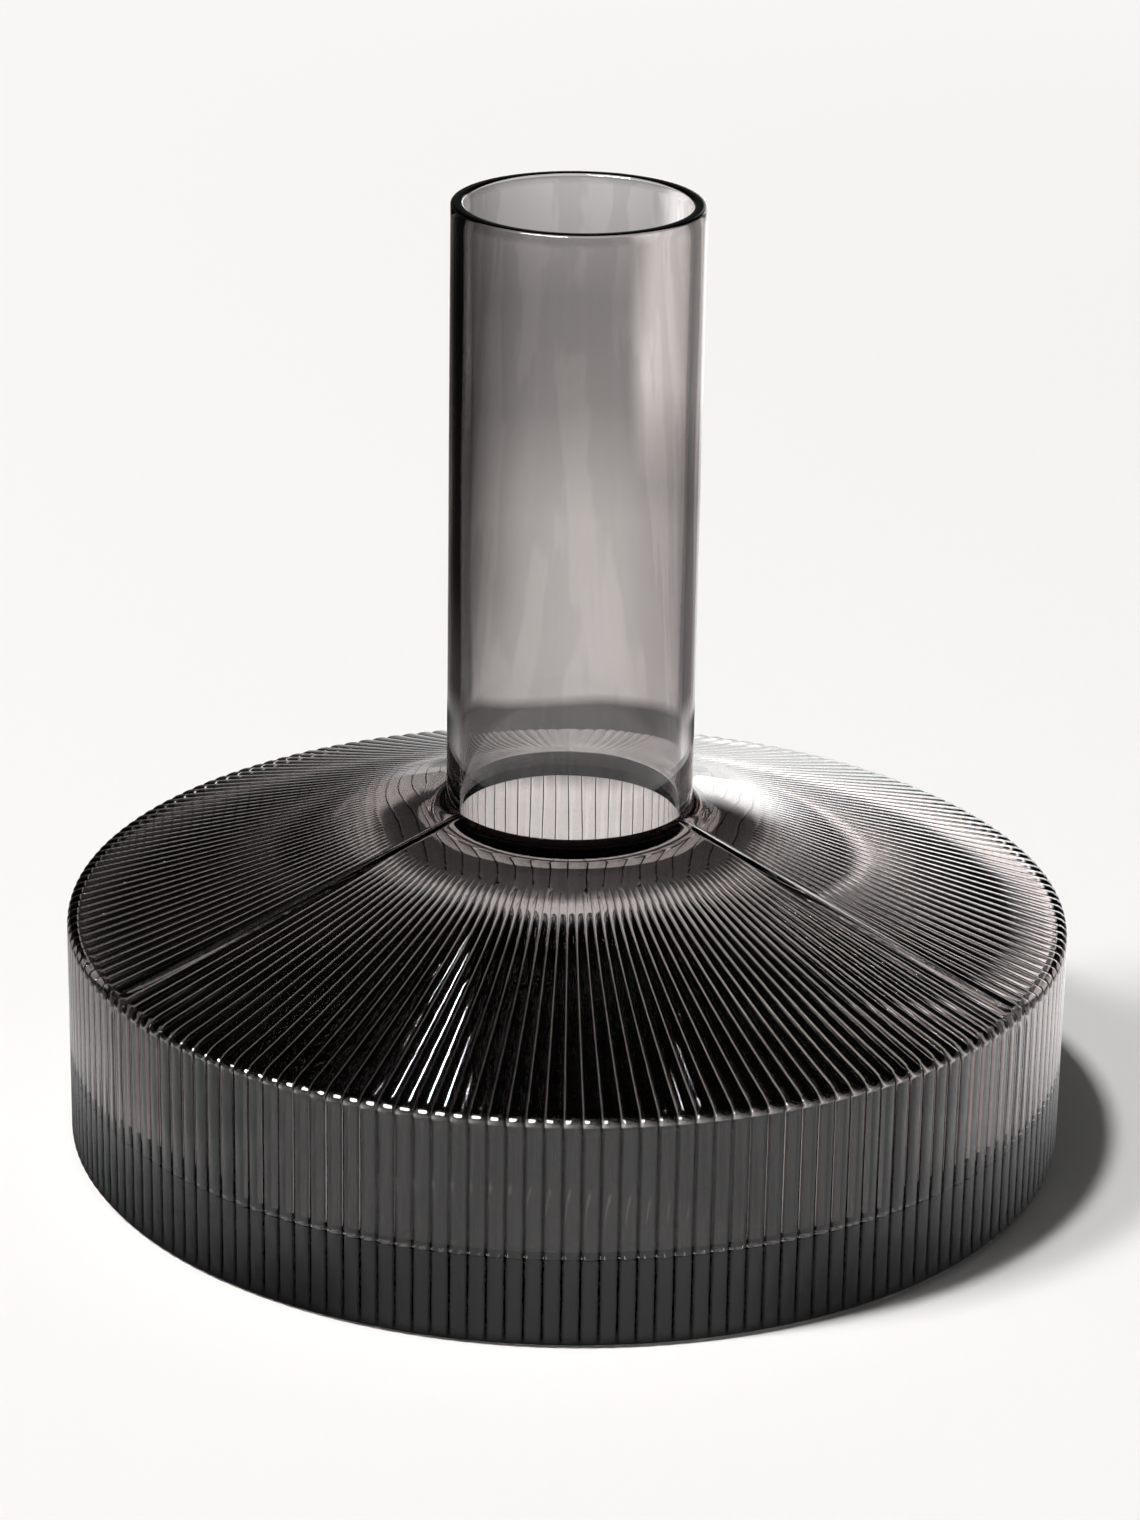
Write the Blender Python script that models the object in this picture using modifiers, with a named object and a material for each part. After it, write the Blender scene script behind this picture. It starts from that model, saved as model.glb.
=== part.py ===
"""Ribbed glass bottle vase: a thick ribbed base, a ribbed body shell, a collar and a straight neck.

The glass parts are turned about Z, with the underside of the base on Z = 0. Pieces that are fused
together on the real vase meet here in stepped seats, with a fitting gap between them.
"""

import math

import bpy

# Overall sizes, metres
BODY_RADIUS = 0.115
VASE_HEIGHT = 0.2195
SHOULDER_HEIGHT = 0.0534
NECK_FOOT_HEIGHT = 0.0810
NECK_RADIUS = 0.0281
NECK_WALL = 0.0029

# Body shell and base
BODY_WALL = 0.0038
SHOULDER_WALL = 0.0038
COLLAR_WALL = 0.0054
SHOULDER_ROUNDING = 0.0035
INNER_ROUNDING = 0.0040
JOINT_HEIGHT = 0.0205
FLOOR_RISE = 0.0010
FOOT_CHAMFER = 0.0008
FOOT_BAND = 0.0016

# Collar and the seats that it makes
COLLAR_RADIUS = 0.0360
COLLAR_LEDGE = 0.0018
COLLAR_FLANGE = 0.0026
SOCKET_DEPTH = 0.0025
RIM_ROUNDING = 0.0005
FIT_GAP = 0.0003

# Ribs: one crest and one groove to each pitch
RIB_COUNT = 180
RIB_DEPTH = 0.0007
RIB_FADE_START = 0.0460
RIB_FADE_END = 0.0720

RIBBED_STEPS = 2 * RIB_COUNT
SMOOTH_STEPS = 96
WELD_DISTANCE = 0.00005

SHOULDER_SLOPE = math.atan2(
    NECK_FOOT_HEIGHT - SHOULDER_HEIGHT,
    BODY_RADIUS - NECK_RADIUS,
)


def shoulder_z(radius):
    """Height of the outer face of the shoulder at a radius."""
    return NECK_FOOT_HEIGHT - (radius - NECK_RADIUS) * math.tan(SHOULDER_SLOPE)


def underside_z(radius):
    """Height of the inner face of the shoulder, which is thicker towards the collar."""
    near_collar = max(0.0, 1.0 - (radius - NECK_RADIUS) / (0.3 * BODY_RADIUS))
    wall = SHOULDER_WALL + (COLLAR_WALL - SHOULDER_WALL) * near_collar
    return shoulder_z(radius) - wall / math.cos(SHOULDER_SLOPE)


def arc(centre_r, centre_z, radius, start, end, pieces):
    """Points of an arc in the turning plane, angles in radians from +X."""
    points = []
    for i in range(pieces + 1):
        angle = start + (end - start) * i / pieces
        points.append((centre_r + radius * math.cos(angle), centre_z + radius * math.sin(angle)))
    return points


def clear_scene():
    for thing in list(bpy.data.objects):
        bpy.data.objects.remove(thing, do_unlink=True)


def new_collection(name):
    group = bpy.data.collections.new(name)
    bpy.context.scene.collection.children.link(group)
    return group


def glass(name, colour, roughness):
    material = bpy.data.materials.new(name)
    material.use_nodes = True
    shader = material.node_tree.nodes["Principled BSDF"]
    shader.inputs["Base Color"].default_value = (*colour, 1.0)
    shader.inputs["Metallic"].default_value = 0.0
    shader.inputs["Roughness"].default_value = roughness
    shader.inputs["IOR"].default_value = 1.5
    shader.inputs["Transmission Weight"].default_value = 1.0
    return material


def turned(name, outline, steps, closed, group):
    """A profile at +X, run down its outer side, turned once about Z by a Screw modifier."""
    edges = [(i, i + 1) for i in range(len(outline) - 1)]
    if closed:
        edges.append((len(outline) - 1, 0))
    mesh = bpy.data.meshes.new(name)
    mesh.from_pydata([(r, 0.0, z) for r, z in outline], edges, [])
    thing = bpy.data.objects.new(name, mesh)
    group.objects.link(thing)
    screw = thing.modifiers.new("turn", "SCREW")
    screw.axis = "Z"
    screw.angle = 2.0 * math.pi
    screw.steps = steps
    screw.render_steps = steps
    screw.use_merge_vertices = True
    screw.merge_threshold = WELD_DISTANCE
    screw.use_smooth_shade = True
    return thing


def as_mesh(thing):
    """Replaces an object's modifiers with the mesh that they make."""
    bpy.context.view_layer.update()
    evaluated = thing.evaluated_get(bpy.context.evaluated_depsgraph_get())
    mesh = bpy.data.meshes.new_from_object(evaluated)
    mesh.name = thing.name
    thing.modifiers.clear()
    thing.data = mesh
    return thing


def rib_depth(radius, height):
    """Groove depth: full on the wall, fading along the shoulder and ending above the foot."""
    on_shoulder = (radius - RIB_FADE_START) / (RIB_FADE_END - RIB_FADE_START)
    above_foot = (height - FOOT_CHAMFER) / (FOOT_BAND - FOOT_CHAMFER)
    fade = max(0.0, min(1.0, on_shoulder)) * max(0.0, min(1.0, above_foot))
    return RIB_DEPTH * fade * radius / BODY_RADIUS


def cut_grooves(thing, normal_at):
    """Draws every second meridian of the ribbed face inwards, to leave a crest on each side."""
    pitch = 2.0 * math.pi / RIBBED_STEPS
    for vertex in thing.data.vertices:
        radius = math.hypot(vertex.co.x, vertex.co.y)
        if radius < RIB_FADE_START:
            continue
        angle = math.atan2(vertex.co.y, vertex.co.x)
        if round(angle / pitch) % 2 == 0:
            continue
        out_r, out_z = normal_at(radius, vertex.co.z)
        depth = rib_depth(radius, vertex.co.z)
        vertex.co.x -= depth * out_r * math.cos(angle)
        vertex.co.y -= depth * out_r * math.sin(angle)
        vertex.co.z -= depth * out_z


def cut(thing, cutter):
    boolean = thing.modifiers.new("cavity", "BOOLEAN")
    boolean.operation = "DIFFERENCE"
    boolean.solver = "EXACT"
    boolean.object = cutter
    cutter.hide_render = True
    cutter.display_type = "WIRE"


def finish(thing, material):
    thing.data.shade_smooth()
    thing.data.set_sharp_from_angle(angle=math.radians(35.0))
    thing.data.materials.clear()
    thing.data.materials.append(material)


clear_scene()
vase = new_collection("ribbed_bottle_vase")
cutters = new_collection("cutters")

inner_radius = BODY_RADIUS - BODY_WALL
neck_bore = NECK_RADIUS - NECK_WALL
ledge_z = shoulder_z(COLLAR_RADIUS) - COLLAR_FLANGE
socket_z = NECK_FOOT_HEIGHT - SOCKET_DEPTH


# The solid base: a ribbed disc with a flat ground underside. A low step on top of it centres the
# body shell, which stands on the rim around the step.
base_slab = turned(
    "base_slab",
    [
        (0.0, JOINT_HEIGHT + FLOOR_RISE),
        (inner_radius - FIT_GAP, JOINT_HEIGHT + FLOOR_RISE),
        (inner_radius - FIT_GAP, JOINT_HEIGHT),
        (BODY_RADIUS, JOINT_HEIGHT),
        (BODY_RADIUS, FOOT_BAND),
        (BODY_RADIUS, FOOT_CHAMFER),
        (BODY_RADIUS - FOOT_CHAMFER, 0.0),
        (0.0, 0.0),
    ],
    RIBBED_STEPS,
    False,
    vase,
)
as_mesh(base_slab)


def base_normal(radius, height):
    """The side of the base is upright, and the rest of it carries no ribs."""
    return (1.0, 0.0) if radius > BODY_RADIUS - WELD_DISTANCE else (0.0, 0.0)


cut_grooves(base_slab, base_normal)
finish(base_slab, glass("smoked_glass_base", (0.060, 0.055, 0.053), 0.04))

# The body shell: the ribbed wall and shoulder in one, open at the bottom over the base and at the
# top for the collar. The outer form is turned and grooved, then hollowed by the cavity cutter.
rounding_reach = SHOULDER_ROUNDING * math.tan((0.5 * math.pi - SHOULDER_SLOPE) / 2.0)
rounding_z = SHOULDER_HEIGHT - rounding_reach
rounding = arc(
    BODY_RADIUS - SHOULDER_ROUNDING,
    rounding_z,
    SHOULDER_ROUNDING,
    0.5 * math.pi - SHOULDER_SLOPE,
    0.0,
    3,
)


def shell_normal(radius, height):
    """Outward direction of the outer form in the turning plane."""
    if radius <= rounding[0][0] + WELD_DISTANCE:
        return (math.sin(SHOULDER_SLOPE), math.cos(SHOULDER_SLOPE))
    if height <= rounding_z + WELD_DISTANCE:
        return (1.0, 0.0)
    out_r = radius - (BODY_RADIUS - SHOULDER_ROUNDING)
    out_z = height - rounding_z
    length = math.hypot(out_r, out_z)
    return (out_r / length, out_z / length)


shell_foot = JOINT_HEIGHT + FIT_GAP
fade_middle = 0.5 * (RIB_FADE_START + RIB_FADE_END)
outer_form = [(0.0, shoulder_z(0.9 * COLLAR_RADIUS))]
outer_form.append((0.9 * COLLAR_RADIUS, shoulder_z(0.9 * COLLAR_RADIUS)))
for radius in (RIB_FADE_START, fade_middle, RIB_FADE_END):
    outer_form.append((radius, shoulder_z(radius)))
outer_form += rounding
outer_form += [(BODY_RADIUS, shell_foot), (0.0, shell_foot)]
ribbed_shell = turned("ribbed_shell", outer_form, RIBBED_STEPS, False, vase)
as_mesh(ribbed_shell)
cut_grooves(ribbed_shell, shell_normal)

corner_r = inner_radius - INNER_ROUNDING
corner_z = underside_z(corner_r) - INNER_ROUNDING
clear = 0.003
seat_bore = COLLAR_RADIUS + FIT_GAP
ledge_bore = COLLAR_RADIUS + FIT_GAP - COLLAR_LEDGE
cavity_outline = [
    (0.0, NECK_FOOT_HEIGHT + clear),
    (seat_bore, NECK_FOOT_HEIGHT + clear),
    (seat_bore, ledge_z),
    (ledge_bore, ledge_z),
    (ledge_bore, underside_z(ledge_bore)),
    (0.5 * BODY_RADIUS, underside_z(0.5 * BODY_RADIUS)),
    *arc(corner_r, corner_z, INNER_ROUNDING, 0.45 * math.pi, 0.0, 3),
    (inner_radius, shell_foot - clear),
    (0.0, shell_foot - clear),
]
cavity = turned("cavity", cavity_outline, SMOOTH_STEPS, False, cutters)
cut(ribbed_shell, cavity)
finish(ribbed_shell, glass("smoked_glass_body", (0.075, 0.068, 0.065), 0.03))

# The collar: the thick ring of glass round the foot of the neck. Its flange sits on the ledge of
# the body shell, and the neck stands in its socket.
collar_foot = underside_z(ledge_bore) - 0.0002
collar_spigot = ledge_bore - FIT_GAP
flare = 0.0030
neck_collar = turned(
    "neck_collar",
    [
        (NECK_RADIUS + FIT_GAP, shoulder_z(NECK_RADIUS + FIT_GAP)),
        (COLLAR_RADIUS, shoulder_z(COLLAR_RADIUS)),
        (COLLAR_RADIUS, ledge_z + FIT_GAP),
        (collar_spigot, ledge_z + FIT_GAP),
        (collar_spigot, collar_foot),
        (neck_bore + flare, collar_foot),
        (neck_bore + 0.3 * flare, collar_foot + 0.3 * flare),
        (neck_bore, collar_foot + flare),
        (neck_bore, socket_z),
        (NECK_RADIUS + FIT_GAP, socket_z),
    ],
    SMOOTH_STEPS,
    True,
    vase,
)
as_mesh(neck_collar)
finish(neck_collar, glass("smoked_glass_collar", (0.050, 0.044, 0.042), 0.03))

# The neck: a plain straight tube, cut square at the top with its edges fire-polished.
neck_tube = turned(
    "neck_tube",
    [
        (NECK_RADIUS - RIM_ROUNDING, VASE_HEIGHT),
        (NECK_RADIUS, VASE_HEIGHT - RIM_ROUNDING),
        (NECK_RADIUS, socket_z + FIT_GAP),
        (neck_bore, socket_z + FIT_GAP),
        (neck_bore, VASE_HEIGHT - RIM_ROUNDING),
        (neck_bore + RIM_ROUNDING, VASE_HEIGHT),
    ],
    SMOOTH_STEPS,
    True,
    vase,
)
as_mesh(neck_tube)
finish(neck_tube, glass("smoked_glass_neck", (0.110, 0.102, 0.098), 0.02))
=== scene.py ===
"""The looks of the ribbed bottle vase: smoke-grey glass on a plain pale studio floor."""

import math

import bmesh
import bpy
import numpy as np
from mathutils import Matrix, Vector


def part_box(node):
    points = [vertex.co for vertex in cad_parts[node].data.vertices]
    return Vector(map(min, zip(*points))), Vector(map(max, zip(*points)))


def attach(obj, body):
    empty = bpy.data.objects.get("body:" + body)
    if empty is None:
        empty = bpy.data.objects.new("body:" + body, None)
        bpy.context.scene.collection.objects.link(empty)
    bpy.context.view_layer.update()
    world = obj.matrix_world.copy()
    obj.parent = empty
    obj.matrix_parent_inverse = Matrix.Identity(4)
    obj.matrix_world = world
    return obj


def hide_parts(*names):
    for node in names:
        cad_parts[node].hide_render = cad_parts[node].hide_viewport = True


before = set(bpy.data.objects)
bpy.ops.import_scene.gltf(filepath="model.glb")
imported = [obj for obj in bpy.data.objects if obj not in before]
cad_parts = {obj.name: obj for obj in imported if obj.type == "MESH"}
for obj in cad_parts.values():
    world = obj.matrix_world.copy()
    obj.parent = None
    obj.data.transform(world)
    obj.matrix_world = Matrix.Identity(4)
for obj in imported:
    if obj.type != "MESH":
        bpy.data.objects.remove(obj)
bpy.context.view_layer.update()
stage = bpy.context.scene

# Base. A thick disc of solid glass with the ribs of the body pressed round its side, ground flat
# underneath. It is deep enough to look black from every side, and a heavy base like this is the
# first gather that goes into the mould.

slab_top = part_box("base_slab")[1]
body_radius = slab_top.x
inside_floor = slab_top.z
joint_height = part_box("ribbed_shell")[0].z

MM = 0.001
RIB_COUNT = 180
RIB_DEPTH = 0.62 * MM
RIB_UNEVENNESS = 0.10
# The crown of a rib is nearly an ellipse, and the two powers say how full it is and how tight the
# crease is. Columns of points lie closer together near the crease, as parts of one rib.
RIB_CROWN = 2.2
RIB_CREASE = 0.6
ACROSS_RIB = (0.0, 0.02, 0.06, 0.12, 0.26, 0.50, 0.74, 0.88, 0.94, 0.98)
SMOOTH_COLUMNS = 288
FIT_CLEARANCE = 0.03 * MM
FOOT_ROUNDING = 0.9 * MM
FOOT_REACH = 1.5 * MM
FOOT_BAND = 1.3 * MM
RIB_START = 3.0 * MM
FLOOR_STEP = 4.0 * MM
FLOOR_EDGE = 1.0 * MM
WAVE_HEIGHT = 0.012 * MM
SHARP_FROM = 32.0

rib_strength = 1.0 - RIB_UNEVENNESS * np.random.default_rng(23).random(RIB_COUNT)


def around(ribbed):
    """Bearings of the columns of a turned face, and how far each lies below the crown of its rib."""
    if not ribbed:
        return 2.0 * np.pi * np.arange(SMOOTH_COLUMNS) / SMOOTH_COLUMNS, np.zeros(SMOOTH_COLUMNS)
    across = np.tile(ACROSS_RIB, RIB_COUNT)
    rib = np.repeat(np.arange(RIB_COUNT), len(ACROSS_RIB))
    height = (1.0 - np.abs(2.0 * across - 1.0) ** RIB_CROWN) ** RIB_CREASE
    below = rib_strength[rib] * (1.0 - height)
    return 2.0 * np.pi * (rib + across) / RIB_COUNT, below


def waves(angle, height, seed, length_round, length_up, count=14):
    """A smooth uneven field between about -1 and 1 over the angle and height of a turned face."""
    pick = np.random.default_rng(seed)
    total = np.zeros(np.broadcast(angle, height).shape)
    for _ in range(count):
        turns = np.round(pick.normal(0.0, 2.0 * np.pi / length_round))
        climb = pick.normal(0.0, 2.0 * np.pi / length_up)
        total += np.sin(turns * angle + climb * height + pick.uniform(0.0, 2.0 * np.pi))
    return total / math.sqrt(0.5 * count) / 2.0


def arc(centre, radius, start, end, pieces, groove=0.0):
    """Outline points of an arc, angles in degrees from straight out."""
    sweep = np.radians(np.linspace(start, end, pieces + 1))
    middle_r, middle_z = centre
    return [
        (middle_r + radius * math.cos(a), middle_z + radius * math.sin(a), groove) for a in sweep
    ]


def turned_glass(name, outline, ribbed, bumps=None):
    """A closed body of revolution. Its outline runs round the section with the glass on the left,
    as radius, height and depth of the grooves there, and bumps moves points along their normals."""
    points = np.array([(r, z) for r, z, _ in outline])
    grooves = np.array([depth for _, _, depth in outline])
    on_axis = points[:, 0] < 1e-9
    after = np.roll(points, -1, 0)
    before = np.roll(points, 1, 0)
    along = after - before
    along /= np.linalg.norm(along, axis=1)[:, None]
    out_r, out_z = along[:, 1], -along[:, 0]
    angle, below = around(ribbed)
    columns = len(angle)
    sink = np.outer(grooves, below)
    if bumps is not None:
        sink = sink - bumps(points, angle)
    radius = points[:, :1] - sink * out_r[:, None]
    height = points[:, 1:] - sink * out_z[:, None]
    bm = bmesh.new()
    rows = []
    for i in range(len(points)):
        if on_axis[i]:
            rows.append([bm.verts.new((0.0, 0.0, points[i, 1]))] * columns)
            continue
        x = radius[i] * np.cos(angle)
        y = radius[i] * np.sin(angle)
        ring = zip(x.tolist(), y.tolist(), height[i].tolist())
        rows.append([bm.verts.new(place) for place in ring])
    ends_on_axis = on_axis.any()
    for i in range(len(rows) - ends_on_axis):
        low, high = rows[i], rows[(i + 1) % len(rows)]
        for k in range(columns):
            n = (k + 1) % columns
            corners = [low[k], low[n], high[n], high[k]]
            bm.faces.new(list(dict.fromkeys(corners)))
    bmesh.ops.recalc_face_normals(bm, faces=bm.faces)
    mesh = bpy.data.meshes.new(name)
    bm.to_mesh(mesh)
    bm.free()
    mesh.shade_smooth()
    mesh.set_sharp_from_angle(angle=math.radians(SHARP_FROM))
    thing = bpy.data.objects.new(name, mesh)
    stage.collection.objects.link(thing)
    return thing


def linear(code):
    """An sRGB hex colour as linear red, green, blue and alpha."""
    parts = [int(code[i : i + 2], 16) / 255.0 for i in (1, 3, 5)]
    return (*[p / 12.92 if p <= 0.04045 else ((p + 0.055) / 1.055) ** 2.4 for p in parts], 1.0)


def add(tree, kind, links=None, sockets=None, **settings):
    """Adds a node with its settings, the values of its sockets and the links into it."""
    node = tree.nodes.new(kind)
    for key, value in settings.items():
        setattr(node, key, value)
    for key, value in (sockets or {}).items():
        node.inputs[key].default_value = value
    for key, source in (links or {}).items():
        tree.links.new(source, node.inputs[key])
    return node


IOR_OF_GLASS = 1.52
TINT_OF_GLASS = (0.888, 0.875, 0.871, 1.0)
TINT_PER_METRE = 1000.0
GROOVE_FLANK = 0.20
GROOVE_BOTTOM = 0.04
GROOVES_FROM = (52.0 * MM, 70.0 * MM)


def smoked_glass(name, ripple, ripple_height, grain, grain_height, worn, gloss="#FFFFFF", groove_shade=0.0):
    """Soda-lime glass tinted in the melt: almost neutral grey, a little more open to red, so a thin
    wall is grey and a deep edge goes through red-brown to black. The ripple is the slow wave that a
    mould or blowing leaves, and bends what is seen through the glass. The grain is the fine chill
    texture of a mould, and breaks up highlights. Both have a length and a height in millimetres.
    Down in the grooves of a ribbed face the reflection is cut as painted shade, which draws a
    dark line between each rib and the next."""
    material = bpy.data.materials.new(name)
    material.use_nodes = True
    tree = material.node_tree
    tree.nodes.clear()
    place = add(tree, "ShaderNodeTexCoord").outputs["Object"]
    slow_noise = add(
        tree, "ShaderNodeTexNoise", {"Vector": place}, {"Scale": 1.0 / (ripple * MM), "Detail": 1.0}
    )
    fine_noise = add(
        tree, "ShaderNodeTexNoise", {"Vector": place}, {"Scale": 1.0 / (grain * MM), "Detail": 2.0}
    )
    slow = add(
        tree,
        "ShaderNodeBump",
        {"Height": slow_noise.outputs["Fac"]},
        {"Strength": 1.0, "Distance": ripple_height * MM},
    )
    fine = add(
        tree,
        "ShaderNodeBump",
        {"Height": fine_noise.outputs["Fac"], "Normal": slow.outputs["Normal"]},
        {"Strength": 1.0, "Distance": grain_height * MM},
    )
    rough = add(
        tree,
        "ShaderNodeMapRange",
        {"Value": fine_noise.outputs["Fac"]},
        {"From Min": 0.45, "From Max": 0.75, "To Min": 0.0, "To Max": worn},
    )
    tint = add(
        tree,
        "ShaderNodeMix",
        {"Factor": slow_noise.outputs["Fac"]},
        {"A": linear("#FFFFFF"), "B": linear("#F6F5F4")},
        data_type="RGBA",
    )
    surface = add(
        tree,
        "ShaderNodeBsdfPrincipled",
        {
            "Base Color": tint.outputs["Result"],
            "Roughness": rough.outputs["Result"],
            "Normal": fine.outputs["Normal"],
        },
        {"Transmission Weight": 1.0, "IOR": IOR_OF_GLASS},
    )
    # Painted shade in the grooves: the specular tint turns grey down in each groove, by the given
    # strength.
    if groove_shade:
        axes = add(tree, "ShaderNodeSeparateXYZ", {0: place})
        bearing = add(
            tree, "ShaderNodeMath", {0: axes.outputs["Y"], 1: axes.outputs["X"]}, operation="ARCTAN2"
        )
        ribs = add(
            tree,
            "ShaderNodeMath",
            {0: bearing.outputs[0]},
            {1: RIB_COUNT / (2.0 * math.pi)},
            operation="MULTIPLY",
        )
        from_groove = add(
            tree, "ShaderNodeMath", {0: ribs.outputs[0]}, {1: 0.5}, operation="PINGPONG"
        )
        in_groove = add(
            tree,
            "ShaderNodeMapRange",
            {"Value": from_groove.outputs[0]},
            {"From Min": GROOVE_FLANK, "From Max": GROOVE_BOTTOM, "To Min": 0.0, "To Max": 1.0},
            interpolation_type="SMOOTHSTEP",
        )
        level_place = add(
            tree, "ShaderNodeVectorMath", {0: place}, {1: (1.0, 1.0, 0.0)}, operation="MULTIPLY"
        )
        out = add(tree, "ShaderNodeVectorMath", {0: level_place.outputs[0]}, operation="LENGTH")
        on_ribs = add(
            tree,
            "ShaderNodeMapRange",
            {"Value": out.outputs["Value"]},
            {"From Min": GROOVES_FROM[0], "From Max": GROOVES_FROM[1], "To Max": groove_shade},
        )
        groove = add(
            tree,
            "ShaderNodeMath",
            {0: in_groove.outputs[0], 1: on_ribs.outputs[0]},
            operation="MULTIPLY",
        )
        painted_groove_shade = add(
            tree,
            "ShaderNodeMix",
            {"Factor": groove.outputs[0]},
            {"A": linear(gloss), "B": linear("#505050")},
            data_type="RGBA",
        )
        tree.links.new(painted_groove_shade.outputs["Result"], surface.inputs["Specular Tint"])
    depth = add(
        tree,
        "ShaderNodeVolumeAbsorption",
        sockets={"Color": TINT_OF_GLASS, "Density": TINT_PER_METRE},
    )
    add(
        tree,
        "ShaderNodeOutputMaterial",
        {"Surface": surface.outputs["BSDF"], "Volume": depth.outputs["Volume"]},
    )
    return material


side = body_radius - 3.5 * WAVE_HEIGHT
well_radius = body_radius - FLOOR_STEP
base_outline = [(0.0, 0.0, 0.0), (0.5 * side, 0.0, 0.0), (0.85 * side, 0.0, 0.0)]
base_outline += arc((side - FOOT_REACH, FOOT_ROUNDING), FOOT_ROUNDING, -90.0, -18.0, 4)
base_outline += [
    (side, z, RIB_DEPTH * min(1.0, 0.3 + 0.7 * (z - FOOT_BAND) / RIB_START))
    for z in (FOOT_BAND, 2.4 * MM, 4.3 * MM, 12.0 * MM, joint_height - FIT_CLEARANCE)
]
base_outline += [(well_radius + 0.4 * MM, joint_height - FIT_CLEARANCE, 0.0)]
base_outline += arc((well_radius - FLOOR_EDGE, inside_floor - FLOOR_EDGE), FLOOR_EDGE, 0.0, 90.0, 3)
base_outline += [
    (0.85 * side, inside_floor, 0.0),
    (0.5 * side, inside_floor - 0.3 * MM, 0.0),
    (0.0, inside_floor - 0.5 * MM, 0.0),
]
base = turned_glass("base_glass", base_outline, True)
pressed_glass = smoked_glass(
    "pressed_smoked_glass_base",
    ripple=14.0,
    ripple_height=0.01,
    grain=1.2,
    grain_height=0.0006,
    worn=0.03,
    gloss="#F2F2F2",
    groove_shade=0.75,
)
base.data.materials.append(pressed_glass)
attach(base, "root")
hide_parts("base_slab")

# Body. The hollow drum and its shoulder, blown into a ribbed three-part mould, so the ribs run up
# the wall, over the edge and in along the shoulder until they die out. The wall is thick at the
# collar and thins outwards, and each joint of the mould leaves a fine raised seam.

neck_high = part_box("neck_tube")[1]
neck_radius = neck_high.x
neck_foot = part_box("neck_collar")[1].z

SHOULDER_EDGE = 53.4 * MM
EDGE_ROUNDING = 2.2 * MM
INNER_ROUNDING = 1.5 * MM
WALL = 3.0 * MM
SHOULDER_WALL = 3.0 * MM
COLLAR_WALL = 6.2 * MM
COLLAR_END = 57.0 * MM
COLLAR_LIP = 0.9 * MM
SOCKET_DEPTH = 2.4 * MM
NECK_WALL = 2.9 * MM
THROAT_ROUNDING = 5.5 * MM
SHOULDER_SAG = 0.43 * MM
SHOULDER_RIBS = 0.85
RIB_FADE = (46.0 * MM, 64.0 * MM)
SEAM_BEARINGS = (-30.0, 90.0, 210.0)
SEAM_HEIGHT = 0.45 * MM
SEAM_WIDTH = 0.7 * MM
SEAM_AT_COLLAR = 0.6

slope = math.atan2(neck_foot - SHOULDER_EDGE, body_radius - neck_radius)


def shoulder(radius):
    """Height of the shoulder, which sags a little between the neck and the edge."""
    along = (radius - neck_radius) / (body_radius - neck_radius)
    sag = 4.0 * SHOULDER_SAG * along * (1.0 - along)
    return neck_foot - (radius - neck_radius) * math.tan(slope) - sag


def underside(radius):
    """Height of the shoulder's inner face, where the wall thickens towards the collar."""
    near = max(0.0, 1.0 - (radius - neck_radius) / (COLLAR_END - neck_radius))
    wall = SHOULDER_WALL + (COLLAR_WALL - SHOULDER_WALL) * near
    return shoulder(radius) - wall / math.cos(slope)


def rib_fade(radius):
    """How much of a rib is left on the shoulder: none at the collar, and all of it further out."""
    t = min(1.0, max(0.0, (radius - RIB_FADE[0]) / (RIB_FADE[1] - RIB_FADE[0])))
    return t * t * (3.0 - 2.0 * t)


# Up the wall, over the edge and in along the shoulder to the socket that the neck stands in.
reach = EDGE_ROUNDING * math.tan((math.pi / 2 - slope) / 2.0)
edge_centre = (side - EDGE_ROUNDING, SHOULDER_EDGE - reach)
wall_heights = np.linspace(joint_height + FIT_CLEARANCE, edge_centre[1] - 1.0 * MM, 6)
shell_outline = [(side, z, RIB_DEPTH) for z in wall_heights]
shell_outline += arc(edge_centre, EDGE_ROUNDING, 0.0, 90.0 - math.degrees(slope), 6, RIB_DEPTH)
edge_end = shell_outline[-1][0]
for r in np.linspace(edge_end - 1.0 * MM, neck_radius + 2.0 * MM, 20):
    groove = SHOULDER_RIBS * RIB_DEPTH * rib_fade(r) * r / body_radius
    shell_outline.append((r, shoulder(r), groove))
bore = neck_radius - NECK_WALL
seat = neck_foot - SOCKET_DEPTH
shell_outline += [
    (neck_radius + COLLAR_LIP, shoulder(neck_radius + COLLAR_LIP) + 0.15 * MM, 0.0),
    (neck_radius + FIT_CLEARANCE, neck_foot, 0.0),
    (neck_radius + FIT_CLEARANCE, seat, 0.0),
    (bore, seat, 0.0),
]

# Down the throat, out along the underside of the shoulder and down the inside of the wall.
throat = bore + THROAT_ROUNDING
throat_centre = (throat, underside(throat) + THROAT_ROUNDING)
shell_outline += arc(throat_centre, THROAT_ROUNDING, 180.0, 270.0, 6)[1:]
inner_side = body_radius - WALL
inner_corner = inner_side - INNER_ROUNDING
for r in np.linspace(throat + 3.0 * MM, inner_corner - 1.5 * MM, 9):
    shell_outline.append((r, underside(r), 0.0))
corner_centre = (inner_corner, underside(inner_corner) - INNER_ROUNDING)
shell_outline += arc(corner_centre, INNER_ROUNDING, 76.0, 0.0, 4)
inner_heights = np.linspace(corner_centre[1] - 2.0 * MM, joint_height + FIT_CLEARANCE, 3)
shell_outline += [(inner_side, z, 0.0) for z in inner_heights]


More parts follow.
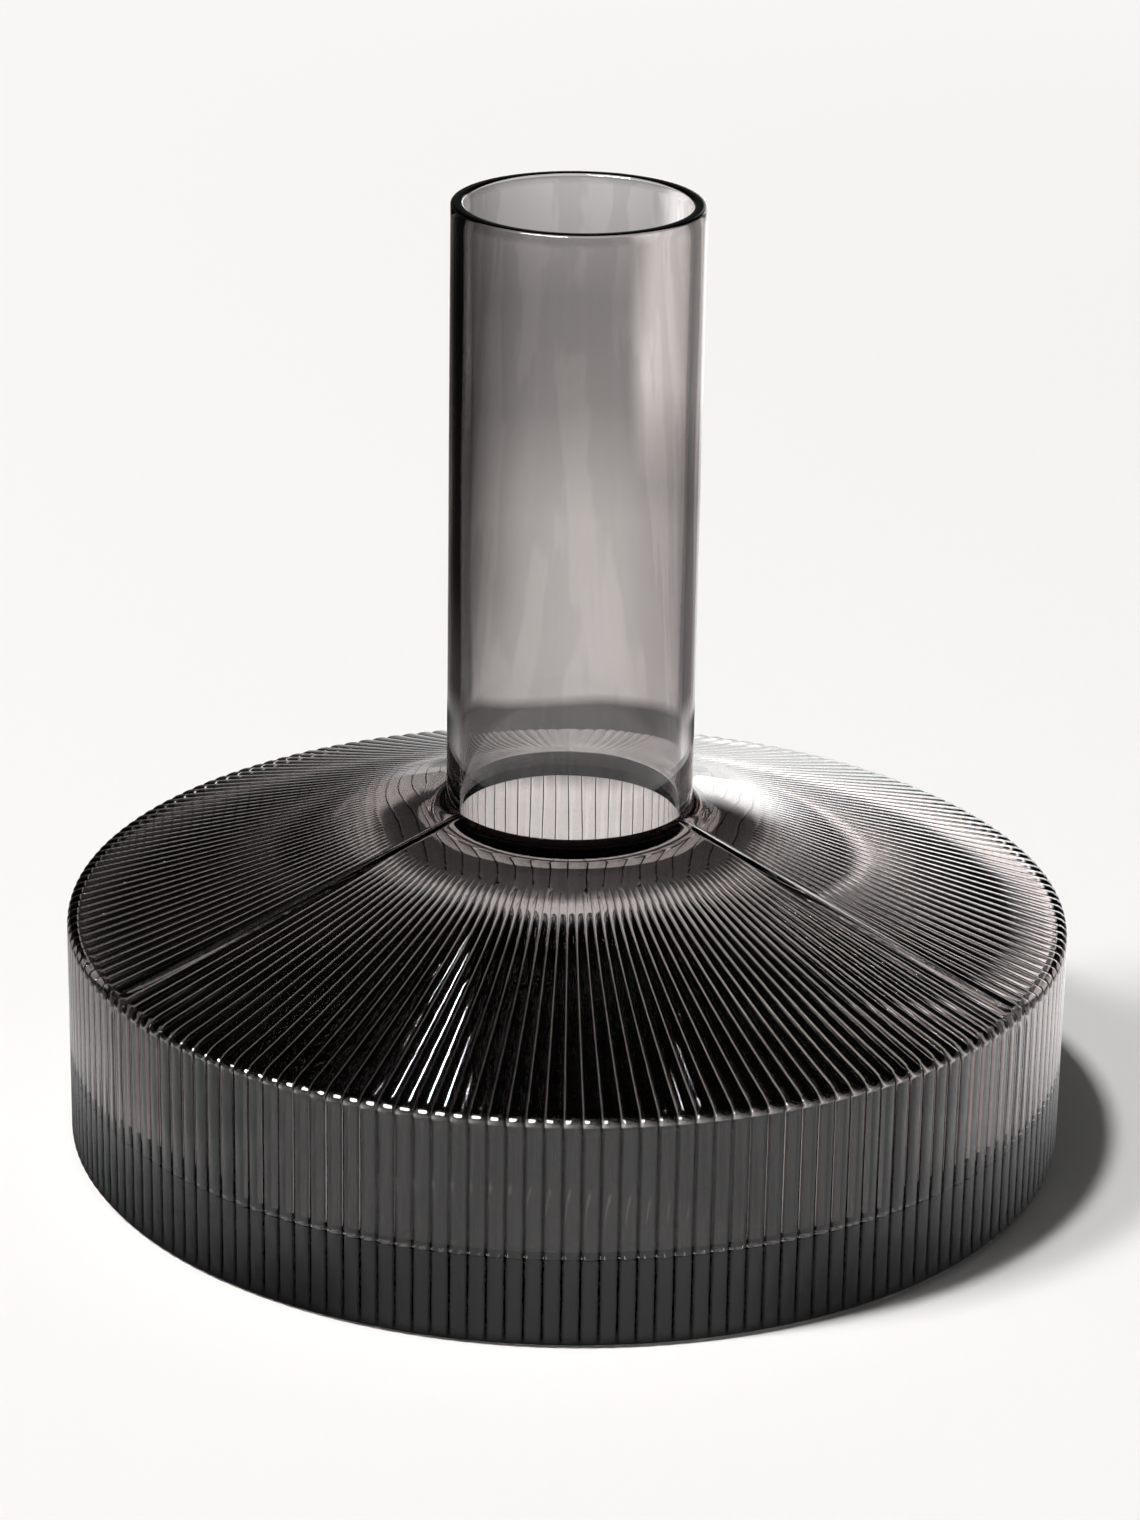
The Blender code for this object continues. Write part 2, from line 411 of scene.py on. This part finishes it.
def shell_bumps(points, angle):
    """Seam ridges and mould waves outside, and the slow uneven waves of blown glass inside."""
    lift = np.zeros((len(points), len(angle)))
    for i, (r, z) in enumerate(points):
        if r < body_radius - 1.5 * MM and z < shoulder(r) - 1.5 * MM:
            slow = waves(angle, r + z, seed=5, length_round=1.2, length_up=0.045)
            lift[i] = 3.0 * WAVE_HEIGHT * slow
            continue
        if r <= neck_radius + 1.0 * MM:
            continue
        mould = waves(angle, r - z, seed=7, length_round=0.35, length_up=0.012)
        lift[i] = WAVE_HEIGHT * mould
        if r < body_radius - 2.0 * MM:
            seam = SEAM_HEIGHT * min(1.0, SEAM_AT_COLLAR * (1.0 + rib_fade(1.2 * r)))
            for bearing in SEAM_BEARINGS:
                off = (angle - math.radians(bearing) + np.pi) % (2.0 * np.pi) - np.pi
                lift[i] += seam * np.exp(-((off * r / SEAM_WIDTH) ** 2))
    return lift


shell = turned_glass("ribbed_body_glass", shell_outline, True, shell_bumps)
mould_blown_glass = smoked_glass(
    "mould_blown_smoked_glass_body",
    ripple=11.0,
    ripple_height=0.01,
    grain=1.2,
    grain_height=0.0008,
    worn=0.03,
    groove_shade=1.0,
)
shell.data.materials.append(mould_blown_glass)
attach(shell, "root")
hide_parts("ribbed_shell", "neck_collar")

# Neck. A plain tube of the same glass, blown without a mould, so it is bright and smooth outside
# and a little uneven inside. It is cut square at the top and its edges are polished round.

RIM_ROUNDING = 0.5 * MM
BORE_WAVES = 0.03 * MM
SKIN_WAVES = 0.006 * MM
neck_top = neck_high.z
tube_foot = seat + FIT_CLEARANCE
rim_height = neck_top - RIM_ROUNDING
neck_outline = [(neck_radius, z, 0.0) for z in np.linspace(tube_foot, rim_height, 60)]
neck_outline += arc((neck_radius - RIM_ROUNDING, rim_height), RIM_ROUNDING, 0.0, 90.0, 4)[1:]
neck_outline += arc((bore + RIM_ROUNDING, rim_height), RIM_ROUNDING, 90.0, 180.0, 4)
bore_heights = np.linspace(neck_top - 2.0 * RIM_ROUNDING, tube_foot, 60)
neck_outline += [(bore, z, 0.0) for z in bore_heights]


def neck_bumps(points, angle):
    """The waves of a blown tube, which are gone at both ends, where it is cut."""
    lift = np.zeros((len(points), len(angle)))
    for i, (r, z) in enumerate(points):
        if tube_foot + 2.0 * MM < z < neck_top - 2.0 * MM:
            inside = r < neck_radius - 0.5 * NECK_WALL
            blown = waves(angle, z, seed=11 + inside, length_round=1.1, length_up=0.06)
            lift[i] = (BORE_WAVES if inside else SKIN_WAVES) * blown
    return lift


neck = turned_glass("neck_glass", neck_outline, False, neck_bumps)
blown_glass = smoked_glass(
    "blown_smoked_glass_neck",
    ripple=30.0,
    ripple_height=0.02,
    grain=1.5,
    grain_height=0.0002,
    worn=0.01,
)
neck.data.materials.append(blown_glass)
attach(neck, "root")
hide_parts("neck_tube")

# Studio. A plain pale paper floor that runs back to a pale backdrop, lit by one big soft key from
# the left. Glass is seen by what it reflects and bends, so for the glass alone the floor carries
# painted light and shade, and the surroundings are shaded as cards and flags out of view would do.

FLOOR_GAP = 0.2 * MM
FLOOR_RADIUS = 9.0
FLOOR_GLOW = 1.06
GLOW_BEHIND = 0.55
bpy.ops.mesh.primitive_circle_add(
    vertices=128, radius=FLOOR_RADIUS, fill_type="NGON", location=(0.0, 0.0, -FLOOR_GAP)
)
floor = bpy.context.object
floor.name = "floor"

# Matt white paper, a little warm. The lit paper gives way to an even glow far from the vase, so
# the floor meets the backdrop without a line. Rays that have met the glass see instead a glowing
# pattern of painted light and shade in its place.
paper = bpy.data.materials.new("matt_studio_paper")
paper.use_nodes = True
tree = paper.node_tree
tree.nodes.clear()
spot = add(tree, "ShaderNodeNewGeometry").outputs["Position"]
ray = add(tree, "ShaderNodeLightPath")
level_spot = add(tree, "ShaderNodeVectorMath", {0: spot}, {1: (1.0, 1.0, 0.0)}, operation="MULTIPLY")
flat = level_spot.outputs[0]
away = add(tree, "ShaderNodeVectorMath", {0: flat}, operation="LENGTH").outputs["Value"]
toward = add(tree, "ShaderNodeVectorMath", {0: flat}, operation="NORMALIZE").outputs[0]
axis = add(tree, "ShaderNodeSeparateXYZ", {0: toward})
across, along = axis.outputs["X"], axis.outputs["Y"]
either_way = add(tree, "ShaderNodeMath", {0: along}, operation="ABSOLUTE").outputs[0]
# A measure towards the back left, where the glass alone sees a painted dark patch on the floor.
toward_painted_dark = add(
    tree, "ShaderNodeVectorMath", {0: toward}, {1: (-0.77, 0.64, 0.0)}, operation="DOT_PRODUCT"
).outputs["Value"]

# Each mask runs from its first to its last value between two places. away is metres from the
# middle of the vase, and across and along are 1 straight out to the right and straight behind.
SOFT, EVEN = "SMOOTHSTEP", "LINEAR"
masks = {}
for name, measure, start, stop, first, last, easing in (
    ("beside", either_way, 0.86, 0.97, 1.0, 0.0, SOFT),
    ("by_the_foot", away, 0.120, 0.148, 1.0, 0.0, SOFT),
    ("to_the_sides", either_way, 0.30, 0.75, 1.0, 0.0, SOFT),
    ("far_out", away, 0.22, 0.42, 0.0, 1.0, SOFT),
    ("towards_painted_dark", toward_painted_dark, 0.60, 0.92, 0.0, 1.0, SOFT),
    ("painted_dark_deepens", away, 0.22, 0.42, 0.32, 0.92, SOFT),
    ("on_the_right", across, 0.42, 0.55, 0.0, 1.0, EVEN),
    ("on_the_left", across, -0.55, -0.42, 1.0, 0.0, EVEN),
    ("not_in_front", along, -0.62, -0.45, 0.0, 1.0, EVEN),
    ("past_the_foot", away, 0.150, 0.165, 0.0, 1.0, EVEN),
    ("within_reach", away, 0.25, 0.31, 1.0, 0.0, EVEN),
    ("ring_starts", away, 0.205, 0.225, 0.0, 1.0, EVEN),
    ("ring_ends", away, 0.272, 0.282, 1.0, 0.0, EVEN),
    ("straight_behind", along, 0.70, 0.88, 0.0, 1.0, EVEN),
    ("left_of_neck", across, -0.34, -0.28, 1.0, 0.0, EVEN),
    ("right_of_neck", across, 0.42, 0.50, 0.0, 1.0, EVEN),
    ("behind_middle", along, 0.30, 0.40, 0.0, 1.0, EVEN),
    ("past_the_ring", away, 0.26, 0.30, 0.0, 1.0, EVEN),
    ("behind", along, 0.60, 0.90, 0.0, 1.0, SOFT),
    ("near_behind", away, 0.225, 0.245, 1.0, 0.0, EVEN),
    ("just_right", across, 0.07, 0.12, 0.0, 1.0, SOFT),
    ("rearward", along, 0.4, 0.7, 0.0, 1.0, SOFT),
    ("beyond", away, 0.48, 0.60, 0.0, 1.0, EVEN),
    ("backdrop", away, 0.5, 1.6, 0.0, 1.0, SOFT),
):
    ramp = add(
        tree,
        "ShaderNodeMapRange",
        {"Value": measure},
        {"From Min": start, "From Max": stop, "To Min": first, "To Max": last},
        interpolation_type=easing,
    )
    masks[name] = ramp.outputs[0]

# Faint uneven bands of painted shade on the paper behind, as soft folds would cast, seen through the
# neck.
stretched = add(
    tree, "ShaderNodeVectorMath", {0: spot}, {1: (26.0, 3.2, 0.0)}, operation="MULTIPLY"
)
fold_noise = add(
    tree, "ShaderNodeTexNoise", {"Vector": stretched.outputs[0]}, {"Scale": 1.0, "Detail": 3.0}
)
fold_shade = add(
    tree,
    "ShaderNodeMapRange",
    {"Value": fold_noise.outputs["Fac"]},
    {"From Min": 0.49, "From Max": 0.515, "To Min": 0.88 * FLOOR_GLOW, "To Max": FLOOR_GLOW},
)

# Each patch of painted light or shade is the part of the floor where all its masks meet, lighter or
# darker by its strength.
level = fold_shade.outputs[0]
# In order: painted shade beside the foot, to the sides, towards the back left and on the left,
# painted light on the right, a painted shadow ring straight behind, painted shade behind to the left
# and right, and a painted glow behind.
for strength, names in (
    (-0.55, ("beside", "by_the_foot")),
    (-0.70, ("to_the_sides", "far_out")),
    (-1.0, ("towards_painted_dark", "painted_dark_deepens")),
    (0.35, ("on_the_right", "not_in_front", "past_the_foot", "within_reach")),
    (-0.20, ("on_the_left", "not_in_front", "past_the_foot", "within_reach")),
    (-0.86, ("ring_starts", "ring_ends", "straight_behind")),
    (-0.85, ("left_of_neck", "behind_middle", "past_the_ring")),
    (-0.75, ("right_of_neck", "behind_middle", "past_the_ring")),
    (GLOW_BEHIND / FLOOR_GLOW, ("behind", "near_behind")),
):
    patch = masks[names[0]]
    for name in names[1:]:
        meet = add(tree, "ShaderNodeMath", {0: patch, 1: masks[name]}, operation="MULTIPLY")
        patch = meet.outputs[0]
    change = add(
        tree, "ShaderNodeMath", {0: patch}, {1: strength, 2: 1.0}, operation="MULTIPLY_ADD"
    )
    shaded = add(tree, "ShaderNodeMath", {0: level, 1: change.outputs[0]}, operation="MULTIPLY")
    level = shaded.outputs[0]

# For the glass, a painted shadow makes the paper dark under the vase. Further off painted shade
# takes it from white to grey and part of the way back, and on the right of the far side a painted
# bright patch glows on it.
pool = add(tree, "ShaderNodeValToRGB", {"Fac": away})
POOL = [
    (0.1152, "#000000"),
    (0.120, "#E8E8E8"),
    (0.150, "#FFFFFF"),
    (0.440, "#FFFFFF"),
    (0.560, "#C4C4C4"),
    (0.700, "#B2B2B2"),
    (0.900, "#E4E4E4"),
]
for distance, _ in POOL[1:-1]:
    pool.color_ramp.elements.new(distance)
for stop, (distance, code) in zip(pool.color_ramp.elements, POOL):
    stop.position = distance
    stop.color = linear(code)
PAINTED_PATCH_GLOW = (1.6, 1.6, 1.6, 1.0)
right_rear = add(
    tree, "ShaderNodeMath", {0: masks["just_right"], 1: masks["rearward"]}, operation="MULTIPLY"
)
painted_bright_patch = add(
    tree, "ShaderNodeMath", {0: right_rear.outputs[0], 1: masks["beyond"]}, operation="MULTIPLY"
)
painted_floor = add(
    tree,
    "ShaderNodeMix",
    {"Factor": painted_bright_patch.outputs[0], "A": pool.outputs["Color"]},
    {"B": PAINTED_PATCH_GLOW},
    data_type="RGBA",
)
# The glass sees this painted light and shade as a glow of the floor.
for_glass = add(
    tree, "ShaderNodeEmission", {"Color": painted_floor.outputs["Result"], "Strength": level}
)
PAPER = linear("#F2F0EE")
BACKDROP = linear("#FAF8F6")
lit_paper = add(tree, "ShaderNodeBsdfDiffuse", sockets={"Color": PAPER})
far_paper = add(tree, "ShaderNodeEmission", sockets={"Color": BACKDROP, "Strength": 1.0})
plain_paper = add(
    tree,
    "ShaderNodeMixShader",
    {"Fac": masks["backdrop"], 1: lit_paper.outputs[0], 2: far_paper.outputs[0]},
)
plainly_seen = add(
    tree,
    "ShaderNodeMath",
    {0: ray.outputs["Is Camera Ray"], 1: ray.outputs["Is Diffuse Ray"]},
    operation="ADD",
    use_clamp=True,
)
either_floor = add(
    tree,
    "ShaderNodeMixShader",
    {"Fac": plainly_seen.outputs[0], 1: for_glass.outputs[0], 2: plain_paper.outputs[0]},
)
add(tree, "ShaderNodeOutputMaterial", {"Surface": either_floor.outputs[0]})
floor.data.materials.append(paper)

# The surroundings. The backdrop is pale, and gives the floor a little light from all round. The
# glass finds black overhead, dim low surroundings in front, and a bright low card behind, just
# right of the middle.
WORLD_LIGHT = 0.065
DARK_OVERHEAD = 0.008
FRONT_GLOW = 0.6
world = bpy.data.worlds.new("studio")
stage.world = world
world.use_nodes = True
tree = world.node_tree
tree.nodes.clear()
heading = add(tree, "ShaderNodeTexCoord").outputs["Generated"]
axes = add(tree, "ShaderNodeSeparateXYZ", {0: heading})
ray = add(tree, "ShaderNodeLightPath")
bands = {}
for name, measure, start, stop, first, last in (
    ("low", "Z", 0.16, 0.34, 1.0, 0.0),
    ("card_starts", "X", 0.04, 0.09, 0.07, 3.2),
    ("card_ends", "X", 0.48, 0.60, 1.0, 0.10),
    ("rearward", "Y", -0.05, 0.20, 0.0, 1.0),
):
    band = add(
        tree,
        "ShaderNodeMapRange",
        {"Value": axes.outputs[measure]},
        {"From Min": start, "From Max": stop, "To Min": first, "To Max": last},
        interpolation_type="SMOOTHSTEP",
    )
    bands[name] = band.outputs[0]
card_behind = add(
    tree,
    "ShaderNodeMath",
    {0: bands["card_starts"], 1: bands["card_ends"]},
    operation="MULTIPLY",
)
round_about = add(
    tree,
    "ShaderNodeMix",
    {"Factor": bands["rearward"], "B": card_behind.outputs[0]},
    {"A": FRONT_GLOW},
)
glow = add(
    tree,
    "ShaderNodeMath",
    {0: round_about.outputs[0], 1: bands["low"]},
    {2: DARK_OVERHEAD},
    operation="MULTIPLY_ADD",
)
for_glass = add(
    tree, "ShaderNodeBackground", {"Strength": glow.outputs[0]}, {"Color": linear("#FFFFFF")}
)
for_floor = add(
    tree, "ShaderNodeBackground", sockets={"Color": linear("#FFFFFF"), "Strength": WORLD_LIGHT}
)
backdrop = add(tree, "ShaderNodeBackground", sockets={"Color": BACKDROP, "Strength": 1.0})
lit = add(
    tree,
    "ShaderNodeMixShader",
    {"Fac": ray.outputs["Is Diffuse Ray"], 1: for_glass.outputs[0], 2: for_floor.outputs[0]},
)
shown = add(
    tree,
    "ShaderNodeMixShader",
    {"Fac": ray.outputs["Is Camera Ray"], 1: lit.outputs[0], 2: backdrop.outputs[0]},
)
add(tree, "ShaderNodeOutputWorld", {"Surface": shown.outputs[0]})

# The lamps. The key casts the shadow and has no reflection. Part of it is stopped by the solid
# base alone, so the shadow is paler where the light comes through thin glass. Two small strips
# high behind the neck draw streaks down the shoulder, and a window at the front left puts a bead
# of light on each rib where it turns over the edge.
VASE_MIDDLE = Vector((0.0, 0.0, 0.05))


def softbox(name, place, size, power, lights_floor=False, in_mirror=False):
    """A rectangular lamp that faces the vase. Cameras and rays through glass don't see it."""
    lamp = bpy.data.lights.new(name, "AREA")
    lamp.shape = "RECTANGLE"
    lamp.size, lamp.size_y = size
    lamp.energy = power
    holder = bpy.data.objects.new(name, lamp)
    stage.collection.objects.link(holder)
    holder.location = place
    holder.rotation_euler = (VASE_MIDDLE - place).to_track_quat("-Z", "Y").to_euler()
    holder.visible_camera = False
    holder.visible_diffuse = lights_floor
    holder.visible_glossy = in_mirror
    holder.visible_transmission = False
    return holder


def aimed(distance, bearing, elevation):
    """A place at a distance from the vase, on a bearing from +X and at a height in degrees."""
    out, up = math.radians(bearing), math.radians(elevation)
    return distance * Vector(
        (math.cos(out) * math.cos(up), math.sin(out) * math.cos(up), math.sin(up))
    )


KEY_PLACE = aimed(15.0, 200.0, 54.3)
KEY_SIZE = (2.6, 2.6)
KEY_POWER = 2735.0
KEY_THROUGH_GLASS = 0.58
solid_glass = bpy.data.collections.new("solid_glass")
stage.collection.children.link(solid_glass)
solid_glass.objects.link(base)
through_glass = softbox(
    "key", KEY_PLACE, KEY_SIZE, KEY_POWER * KEY_THROUGH_GLASS, lights_floor=True
)
through_glass.light_linking.blocker_collection = solid_glass
softbox("key", KEY_PLACE, KEY_SIZE, KEY_POWER * (1.0 - KEY_THROUGH_GLASS), lights_floor=True)
softbox("strip", aimed(2.6, 95.2, 62.1), (0.12, 0.05), 3.2, in_mirror=True)
softbox("second strip", aimed(2.6, 86.5, 62.1), (0.04, 0.05), 1.0, in_mirror=True)
softbox("front window", aimed(2.0, 236.0, 38.0), (1.3, 0.9), 210.0, in_mirror=True)

# Camera. At the height of someone standing at the table, far enough off for little perspective.

CAMERA_BACK = 8.673
CAMERA_HEIGHT = 4.178
CAMERA_PITCH = 21.43
CAMERA_ROLL = 0.95
lens = bpy.data.cameras.new("camera")
lens.sensor_width = 36.0
lens.lens = 111.3
lens.clip_start = 0.02
lens.clip_end = 60.0
camera = bpy.data.objects.new("camera", lens)
stage.collection.objects.link(camera)
camera.location = (0.0, -CAMERA_BACK * body_radius, CAMERA_HEIGHT * body_radius)
aim_down = Matrix.Rotation(math.radians(90.0 - CAMERA_PITCH), 3, "X")
tilt = Matrix.Rotation(math.radians(CAMERA_ROLL), 3, "Z")
camera.rotation_euler = (aim_down @ tilt).to_euler()
stage.camera = camera

# Light has to get through several walls of glass, so it is let bounce often.
stage.view_settings.view_transform = "Standard"
stage.cycles.max_bounces = 20
stage.cycles.transmission_bounces = 20
stage.cycles.glossy_bounces = 10
stage.cycles.sample_clamp_indirect = 8.0
